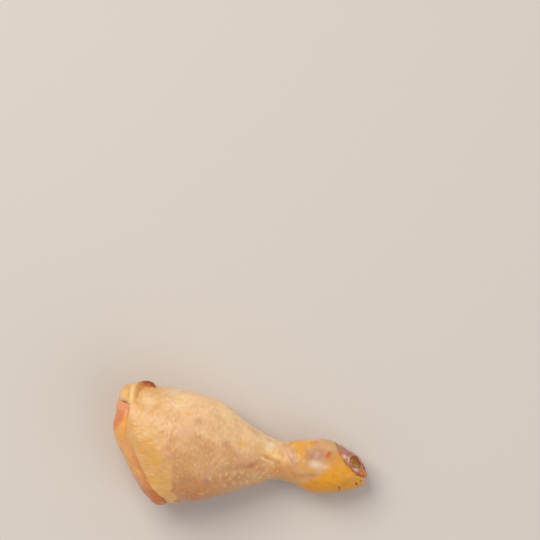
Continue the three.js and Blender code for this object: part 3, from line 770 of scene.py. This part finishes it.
def skinMaterial():
    # Raw chicken skin: moist and satin, thin enough for light to spread in it, over yellow fat
    # its colours also carry painted highlights on the side towards the light, and painted shade in creases,
    # under folds and on the lower side
    material, tree, colours, place = newMaterial("rawChickenSkin", skinValues["colours"])
    mottle = noiseTexture(tree, place, skinValues["mottling"], detail=3, roughness=0.6)
    blotch = noiseTexture(tree, place, skinValues["blotching"], detail=3)
    drawnOut = addNode(tree, "ShaderNodeMapping", {"Vector": place, "Scale": (1, 0.3, 0.3)})
    creases = noiseTexture(tree, drawnOut.outputs[0], skinValues["creases"], detail=2, roughness=0.6)
    creased = addNode(tree, "ShaderNodeAttribute", attribute_name="creased").outputs["Fac"]
    base = layered(tree, colours["flesh"], (
        ("fatty", 1, "fatty"), ("cream", 0.95, "cream"), ("cream", 0.15, between(tree, mottle, 0.42, 0.7)),
        ("rosy", 0.12, between(tree, blotch, 0.5, 0.72)), ("tan", 0.5, "tan"), ("blush", 0.85, "blush"),
        ("rosy", 0.75, "rosy"), ("yellow", 0.95, "yellow"), ("butter", 0.9, "butter"),
        ("lilac", 0.8, "lilac"), ("white", 0.75, "white"), ("gold", 1, "gold"), ("pale", 0.75, "tip"),
        ("pale", 0.1, between(tree, creases, 0.5, 0.72, 0, creased)),
        ("tan", 0.1, between(tree, creases, 0.5, 0.28, 0, creased)),
        ("hollow", 0.8, "hollow"), ("red", 0.9, "red"), ("umber", 1, "umber"), ("notch", 0.95, "notch"),
    ), colours)
    scaling = {"Vector": place, "Scale": scaleFor(skinValues["fineLines"])}
    lines = addNode(tree, "ShaderNodeTexVoronoi", scaling, feature="DISTANCE_TO_EDGE")
    height = addNode(tree, "ShaderNodeMath", {0: lines.outputs["Distance"], 1: creases}, operation="ADD")
    roughness = between(tree, mottle, 0.3, 0.7, *skinValues["wetness"])
    wetSurface(tree, base, height.outputs[0], roughness, skinValues["finish"])
    return material


skinPiece = fineCopy("skin", "skinSleeve", skinValues["voxel"], skinValues["softening"], levels=2)
sculptSkin(skinPiece)
finishPiece(skinPiece, "skin", skinMaterial())
skinSurface = surfaceOf(skinPiece)


def coveredBySkin(places, outwards):
    # places whose way out of the leg is closed by the skin
    far = 12
    hits = [skinSurface.ray_cast(Vector(p), Vector(o), far)[0] for p, o in zip(places, outwards)]
    return np.array([hit is not None for hit in hits])


# The meat, from the bare end at the knee to the ankle
meatValues = {
    "voxel": 0.5,
    "softening": 20,
    "triangles": 110000,
    "fibre": 0.8,  # mm between bundles of fibres
    "roughness": 0.34,
    "colours": {
        "red": "#e27e38", "amber": "#e8a75e", "fat": "#f2b056", "brown": "#c45c0c", "film": "#ecc4a4",
        "pink": "#de9668",
    },
    "finish": {
        "relief": 0.3, "reliefDepth": 0.2, "ior": 1.38, "film": 0.4, "filmRoughness": 0.15,
        "seeThrough": 0.45, "lightSpread": (2.4, 0.9, 0.4),
    },
}
# The meat is bare on the knee side of the first x, and the skin's edge is beyond the second. Nothing shows
# further than hiddenFrom, in mm, from the bare meat, and one in every few of its places is measured from.
meatEdges = {"bare": -20, "skinEdge": -35, "hiddenFrom": 3, "step": 5}

# Above this line across the bare end the muscle is red, below it amber
redEdge = {"x": -57.9, "y": 15.1, "slope": 1.9}

# Size, wavelength in mm, seed, and how far it is drawn out on each axis
meatNoise = {
    "fineFibres": (0.05, 1.3, 21, (5, 1, 1)), "fibres": (0.08, 3.2, 22, (4, 1, 1)), "redEdge": (0.8, 4, 24),
    "lumps": (0.15, 9, 23), "film": (1, 5, 26),
}
meatHeights = {"streak": 0.25, "lip": 0.5, "swelling": 3.4}  # mm
# the brown is partly the meat's own tone low down, partly painted shade at the low end under the skin and in
# a band beside the skin's edge
meatTints = {"pink": 0.7, "besideSkin": 0.35, "brown": 0.9, "patchyFilm": 0.3, "topFilm": 0.8}

# How far these reach from the skin's edge, in mm: over the bare meat, and under the skin
meatReach = {"lip": (2.2, 1.2), "swelling": (3.2, 3)}
pinkBand = {"middle": 1.5, "width": 1.8}
besideSkinWidth = 2.4

# What a change follows, and where it starts and is complete
meatFades = {
    "bare": ("fromSkin", 0.2, 1.4), "red": ("aboveEdge", -2.5, 3), "streak": ("aboveEdge", 1, -2),
    "streakEnd": ("aboveEdge", -5, -16), "streakSide": ("y", -16, -2), "underLobe": ("y", 15.5, 19),
    "lobeEnd": ("x", -54, -57), "upwards": ("upwards", 0, 0.4), "pink": ("y", 4, -4),
    "pinkEnd": ("y", -20, -26), "besideSkin": ("y", -2, -14), "brown": ("y", -15, -29),
    "patchyFilm": ("film", 0.9, 1.8), "topFilm": ("y", 10, 16),
}


def measureMeat(piece):
    meat = SimpleNamespace(fades=meatFades)
    meat.places, meat.normals = readMesh(piece)
    _turn, outwards = aroundLeg(meat.places)
    meat.x, meat.y, meat.upwards = meat.places[:, 0], meat.places[:, 1], meat.normals[:, 2]
    meat.covered = coveredBySkin(meat.places, outwards) | (meat.x > meatEdges["bare"])
    edge = meat.covered & (meat.x < meatEdges["skinEdge"])
    meat.fromSkin = gapsTo(meat.places, meat.places[edge])
    meat.fromOpen = gapsTo(meat.places, meat.places[~meat.covered][::meatEdges["step"]])
    acrossEdge = redEdge["slope"] * (meat.x - redEdge["x"])
    for name, values in meatNoise.items():
        setattr(meat, name, noise(meat.places, values))
    meat.aboveEdge = meat.y - redEdge["y"] - acrossEdge + meat.redEdge
    return meat


def alongSkin(meat, name):
    outside, under = meatReach[name]
    return bell(meat.fromSkin / outside) * np.where(meat.covered, bell(meat.fromOpen / under), 1)


def sculptMeat(piece):
    meat = measureMeat(piece)
    bare = np.where(meat.covered, 0, fade(meat, "bare"))
    streak = fade(meat, "streak") * (1 - fade(meat, "streakEnd")) * fade(meat, "streakSide")
    fibres = meat.fineFibres + meat.fibres + meat.lumps
    rise = bare * (fibres + meatHeights["streak"] * streak) + meatHeights["lip"] * alongSkin(meat, "lip")
    # under the lobe of skin the meat swells up to it
    swollen = meatHeights["swelling"] * alongSkin(meat, "swelling")
    for name in ("underLobe", "lobeEnd", "upwards"):
        swollen = swollen * fade(meat, name)
    writeMesh(piece, meat.places + meat.normals * rise[:, None] + swollen[:, None] * (0, 0, 1))

    paint(piece, "red", fade(meat, "red"))
    paint(piece, "fat", streak)
    pink = bell((meat.fromSkin - pinkBand["middle"]) / pinkBand["width"])
    pink = pink * fade(meat, "pink") * (1 - fade(meat, "pinkEnd"))
    paint(piece, "pink", meatTints["pink"] * pink)
    # painted shade in a brown band beside the skin's edge, and browner towards the low end
    besideSkin = bell(meat.fromSkin / besideSkinWidth) * fade(meat, "besideSkin")
    brown = meatTints["brown"] * fade(meat, "brown")
    paint(piece, "brown", np.maximum(brown, meatTints["besideSkin"] * besideSkin))
    patchy = meatTints["patchyFilm"] * fade(meat, "patchyFilm")
    paint(piece, "film", np.maximum(patchy, meatTints["topFilm"] * fade(meat, "topFilm")))
    thinOut(piece, meat.fromOpen > meatEdges["hiddenFrom"], meatValues["triangles"])


def meatMaterial():
    # Raw dark poultry meat: wet, deep pink to amber, in bundles of fibres under a thin clear film
    # its brown also lays painted shade at the low end and beside the skin's edge
    material, tree, colours, place = newMaterial("rawChickenMeat", meatValues["colours"])
    drawnOut = addNode(tree, "ShaderNodeMapping", {"Vector": place, "Scale": (0.18, 1, 1)})
    strands = noiseTexture(tree, drawnOut.outputs[0], meatValues["fibre"], detail=4, roughness=0.6)
    base = layered(tree, colours["amber"], (
        ("pink", 0.8, "pink"), ("brown", 0.9, "brown"), ("fat", 0.8, "fat"), ("red", 1, "red"),
        ("film", 0.4, "film"), ("film", 0.12, between(tree, strands, 0.4, 0.7)),
    ), colours)
    wetSurface(tree, base, strands, meatValues["roughness"], meatValues["finish"])
    return material


meatPiece = fineCopy("meat", "bareMeat", meatValues["voxel"], meatValues["softening"])
sculptMeat(meatPiece)
finishPiece(meatPiece, "meat", meatMaterial())


# The gristle of both joints, the cut tendon and the bone
gristleValues = {
    "fibre": 0.5,
    "clouding": 3,  # mm
    "colours": {
        # the dark red is blood on the knee cap, and at the top of the ankle's cut partly blood, partly
        # painted shade
        "gristle": "#b67a62", "pearl": "#e8c6ba", "blood": "#8a3f1a", "orange": "#dc8438",
        "olive": "#986c08", "marrow": "#7a2a1c", "bone": "#cf9f85", "flesh": "#e09a68",
    },
    "finish": {
        "relief": 0.3, "reliefDepth": 0.15, "ior": 1.4, "filmRoughness": 0.12,
        "seeThrough": 0.3, "lightSpread": (1.8, 1, 0.7),
    },
}


def gristleMaterial(name, base, layers, film, roughness):
    # Wet connective tissue: cartilage, tendon or bone, by its base colour and what is laid over it
    material, tree, colours, place = newMaterial(name, gristleValues["colours"])
    strands = noiseTexture(tree, place, gristleValues["fibre"], detail=4, roughness=0.6)
    clouds = noiseTexture(tree, place, gristleValues["clouding"], detail=2)
    clouding = ("pearl", 0.2, between(tree, clouds, 0.45, 0.7))
    colour = layered(tree, colours[base], (clouding, *layers), colours)
    wetSurface(tree, colour, strands, roughness, {**gristleValues["finish"], "film": film})
    return material


tendon = {
    "voxel": 0.16, "softening": 4,
    "sideways": 0.95, "upwards": 0.25, "rough": (0.08, 1, 34),
    "blood": 0.9, "bloodAcross": (57, 0.6), "bloodEdge": (4.2, 5.8),
}


def dressTendon():
    piece = fineCopy("tendon", "cutTendon", tendon["voxel"], tendon["softening"])
    places, normals = readMesh(piece)
    spread = np.array((tendon["sideways"], tendon["sideways"], tendon["upwards"]))
    writeMesh(piece, places + normals * (spread + noise(places, tendon["rough"])[:, None]))
    # the top of the cut tendon dark red: partly blood, partly painted shade
    middle, slope = tendon["bloodAcross"]
    across = places[:, 1] + slope * (places[:, 0] - middle)
    paint(piece, "blood", tendon["blood"] * smoothStep(across, *tendon["bloodEdge"]))
    layers = (("blood", 0.95, "blood"),)
    finishPiece(piece, "tendon", gristleMaterial("oliveTendon", "olive", layers, 0.2, 0.4))
    return surfaceOf(piece)


# Marks are ovals, as on the skin
ankle = {
    "voxel": 0.34, "softening": 4, "triangles": 60000, "cutFrom": 45, "hiddenUpTo": 46, "step": 3,
    "pearlMarks": [(52.6, 6.4, 1.8, 1.3, 0.8), (59.1, 0.1, 1.3, 1.5, 0.9), (54.6, 5.4, 0.5, 2, 0.9)],
    # dark red at the top of the cut: partly blood, partly painted shade
    "bloodMarks": [(60.1, 4.4, 0.9, 1.8, 1), (58.2, 7.6, 2.2, 1, 0.8), (56, 1.6, 0.6, 0.8, 0.5)],
    "bumps": (0.12, 2.2, 31), "fineBumps": (0.06, 1.1, 32),
    "pearlHeight": 0.25, "rimHeight": 0.8, "besideTendonHeight": 0.4,  # mm, as are the next four
    "open": (0.3, 1.2), "rimMiddle": 0.4, "rimWidth": 0.8, "besideTendonWidth": 0.6,
    "orangeEdge": (60.2, 61.6), "orangeSlope": 0.45,
    "blood": 0.3, "bloodNoise": (1, 2.2, 33), "bloodLevels": (0.8, 1.6),
}


def dressAnkle(tendonSurface):
    piece = fineCopy("ankle_cartilage", "ankleGristle", ankle["voxel"], ankle["softening"])
    places, normals = readMesh(piece)
    _turn, outwards = aroundLeg(places)
    surface = surfaceOf(piece)
    x, y = places[:, 0], places[:, 1]
    atCut = x > ankle["cutFrom"]
    covered = coveredBySkin(places, outwards)
    fromSkin = distancesTo(skinSurface, places)
    fromOpen = gapsTo(places, places[~covered & atCut][::ankle["step"]])
    inOpen = np.where(covered, 0, smoothStep(fromSkin, *ankle["open"])) * atCut
    rim = bell((fromSkin - ankle["rimMiddle"]) / ankle["rimWidth"])
    rim = rim * np.where(covered, bell(fromOpen / ankle["rimWidth"]), 1) * atCut
    pearl = spots(places, surface, ankle["pearlMarks"])
    bumpy = noise(places, ankle["bumps"]) + noise(places, ankle["fineBumps"])
    bumpy = bumpy + ankle["pearlHeight"] * pearl
    besideTendon = bell(distancesTo(tendonSurface, places) / ankle["besideTendonWidth"])
    rise = bumpy * inOpen + ankle["rimHeight"] * rim + ankle["besideTendonHeight"] * besideTendon
    writeMesh(piece, places + normals * rise[:, None])
    paint(piece, "pearl", pearl)
    paint(piece, "rim", rim)
    bloody = smoothStep(noise(places, ankle["bloodNoise"]), *ankle["bloodLevels"])
    bloody = np.maximum(ankle["blood"] * bloody, spots(places, surface, ankle["bloodMarks"]))
    paint(piece, "blood", bloody)
    paint(piece, "orange", smoothStep(x + ankle["orangeSlope"] * y, *ankle["orangeEdge"]))
    thinOut(piece, covered & (x < ankle["hiddenUpTo"]), ankle["triangles"])
    layers = (
        ("pearl", 0.9, "pearl"), ("orange", 0.95, "orange"), ("blood", 0.6, "blood"), ("flesh", 0.9, "rim"),
    )
    material = gristleMaterial("wetAnkleGristle", "gristle", layers, 0.35, 0.35)
    finishPiece(piece, "ankle_cartilage", material)


shin = {
    "voxel": 0.4, "softening": 2, "triangles": 30000, "hiddenUpTo": 50,
    "knee": (-49.4, -4.6, 13.2), "ankle": (62.7, 2, 11.7), "end": (57, 60), "marrow": (2, 3.4),
    "proud": 0.25, "rough": (0.12, 1.6, 35), "orange": 0.8, "orangeNoise": (0.2, 2, 38),
    "marrowNoise": (0.5, 2.4, 39),
}


def dressBone():
    piece = fineCopy("bone", "shinBone", shin["voxel"], shin["softening"])
    places, normals = readMesh(piece)
    start, end = np.array(shin["knee"]), np.array(shin["ankle"])
    heading = (end - start) / np.linalg.norm(end - start)
    along = (places - start) @ heading
    fromAxis = np.linalg.norm(places - start - along[:, None] * heading, axis=1)
    ending = smoothStep(places[:, 0], *shin["end"])
    rise = (shin["proud"] + noise(places, shin["rough"])) * ending
    writeMesh(piece, places + normals * rise[:, None])
    paint(piece, "orange", ending * (shin["orange"] + noise(places, shin["orangeNoise"])))
    fromMarrow = fromAxis + noise(places, shin["marrowNoise"])
    paint(piece, "marrow", ending * (1 - smoothStep(fromMarrow, *shin["marrow"])))
    thinOut(piece, places[:, 0] < shin["hiddenUpTo"], shin["triangles"])
    layers = (("orange", 0.85, "orange"), ("marrow", 0.9, "marrow"))
    finishPiece(piece, "bone", gristleMaterial("rawBone", "bone", layers, 0.3, 0.45))


cap = {
    "voxel": 0.3, "softening": 4, "rough": (0.06, 3, 36),
    "blood": 0.5, "bloodNoise": (1, 5, 37), "bloodLevels": (0.9, 1.8),
}


def dressKneeCap():
    piece = fineCopy("knee_cartilage", "kneeCap", cap["voxel"], cap["softening"])
    places, normals = readMesh(piece)
    writeMesh(piece, places + normals * noise(places, cap["rough"])[:, None])
    bloody = smoothStep(noise(places, cap["bloodNoise"]), *cap["bloodLevels"])
    paint(piece, "blood", cap["blood"] * bloody)
    layers = (("blood", 0.5, "blood"),)
    finishPiece(piece, "knee_cartilage", gristleMaterial("jointCap", "pearl", layers, 0.7, 0.2))


dressAnkle(dressTendon())
dressBone()
dressKneeCap()


# Floor, light and camera
stageValues = {
    "floorWidth": 30.0, "floorDepth": 0.0001,  # metres
    "floor": "#d3cdc8", "floorRoughness": 0.9, "room": "#f4f2ef", "roomStrength": 0.5,
}
cameraValues = {
    "above": (2.18, 94.34),  # mm, the point of the floor under the camera
    "height": 5000,
    "across": 272.2,  # mm seen at the leg's own height
    "legHeight": 20,
    "turn": 8,
    "sensor": 36,
    "seesUpTo": 20,  # metres
}
keyLight = {"place": (-0.75, 0.7, 1.3), "size": 1.1, "power": 18.4, "colour": "#fff6ea"}
fillLight = {"place": (0.9, -0.5, 0.8), "size": 1.2, "power": 4.2, "colour": "#f8f7fb"}

bpy.ops.mesh.primitive_plane_add(size=stageValues["floorWidth"], location=(0, 0, -stageValues["floorDepth"]))
floor = bpy.context.object
floor.name = "paleFloor"
floorFinish = bpy.data.materials.new("paleMattFloor")
floorFinish.use_nodes = True
floorShader = floorFinish.node_tree.nodes["Principled BSDF"]
floorShader.inputs["Base Color"].default_value = linearColour(stageValues["floor"])
floorShader.inputs["Roughness"].default_value = stageValues["floorRoughness"]
floor.data.materials.append(floorFinish)

world = bpy.data.worlds.new("paleRoom")
world.use_nodes = True
world.node_tree.nodes["Background"].inputs["Color"].default_value = linearColour(stageValues["room"])
world.node_tree.nodes["Background"].inputs["Strength"].default_value = stageValues["roomStrength"]
bpy.context.scene.world = world

for name, values in (("key", keyLight), ("fill", fillLight)):
    lamp = bpy.data.lights.new(name, "AREA")
    lamp.size = values["size"]
    lamp.energy = values["power"]
    lamp.color = linearColour(values["colour"])[:3]
    holder = bpy.data.objects.new(name, lamp)
    holder.location = values["place"]
    holder.rotation_euler = (-Vector(values["place"])).to_track_quat("-Z", "Y").to_euler()
    bpy.context.scene.collection.objects.link(holder)

camera = bpy.data.cameras.new("topCamera")
cameraHolder = bpy.data.objects.new("topCamera", camera)
bpy.context.scene.collection.objects.link(cameraHolder)
cameraHolder.location = (np.array((*cameraValues["above"], cameraValues["height"])) + legOrigin) / 1000
cameraHolder.rotation_euler = (0, 0, math.radians(cameraValues["turn"]))
camera.sensor_width = cameraValues["sensor"]
away = cameraValues["height"] - cameraValues["legHeight"]
camera.lens = camera.sensor_width * away / cameraValues["across"]
camera.clip_end = cameraValues["seesUpTo"]
bpy.context.scene.camera = cameraHolder
bpy.context.scene.view_settings.view_transform = "Standard"
print("stage, lights and camera are set")
